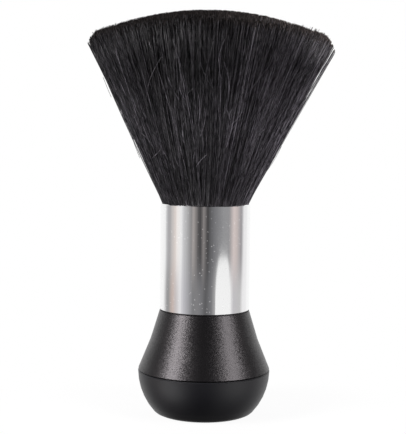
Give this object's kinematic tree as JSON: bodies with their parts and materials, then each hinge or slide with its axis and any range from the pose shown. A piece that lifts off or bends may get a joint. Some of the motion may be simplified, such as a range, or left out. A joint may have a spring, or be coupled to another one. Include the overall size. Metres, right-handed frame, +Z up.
{
  "type": "neck duster brush",
  "caption": "Free-standing barber's neck duster: a flared, dome-cut head of soft black bristles in a polished ferrule on a weighted flared base.",
  "frame": {"origin": "middle of the foot, in the plane that it stands on", "axes": "+Z up along the brush's axis, from the foot to the bristle tips; the brush is round, so X and Y are any two level directions"},
  "size_m": [0.1016, 0.101, 0.1701],
  "materials": {
    "ferrule": "drawn and polished, clear anodised",
    "base_shell": "moulded ABS with fine metal fleck, satin gloss",
    "foot_cap": "smooth moulded, soft satin black",
    "ballast_weight": "turned, bare",
    "knot_plug": "moulded, plain",
    "knot_resin": "cast epoxy, dark amber",
    "knot_screw": "zinc plated",
    "screw_washer": "zinc plated",
    "bristle_roots": "fine black bristle, bound tight",
    "bristle_core": "fine black bristle, straight",
    "bristle_ring_inner": "fine black bristle, straight",
    "bristle_ring_second": "fine black bristle, straight",
    "bristle_ring_third": "fine black bristle, straight",
    "bristle_ring_outer": "fine black bristle, straight"
  },
  "bodies": {
    "root": {"ferrule": "ferrule", "base_shell": "base_shell", "foot_cap": "foot_cap", "ballast_weight": "ballast_weight", "knot_plug": "knot_plug", "knot_resin": "knot_resin", "knot_screw": "knot_screw", "screw_washer": "screw_washer", "bristle_roots": "bristle_roots", "bristle_core": "bristle_core", "bristle_ring_inner": "bristle_ring_inner", "bristle_ring_second": "bristle_ring_second", "bristle_ring_third": "bristle_ring_third", "bristle_ring_outer": "bristle_ring_outer"}
  },
  "joints": []
}
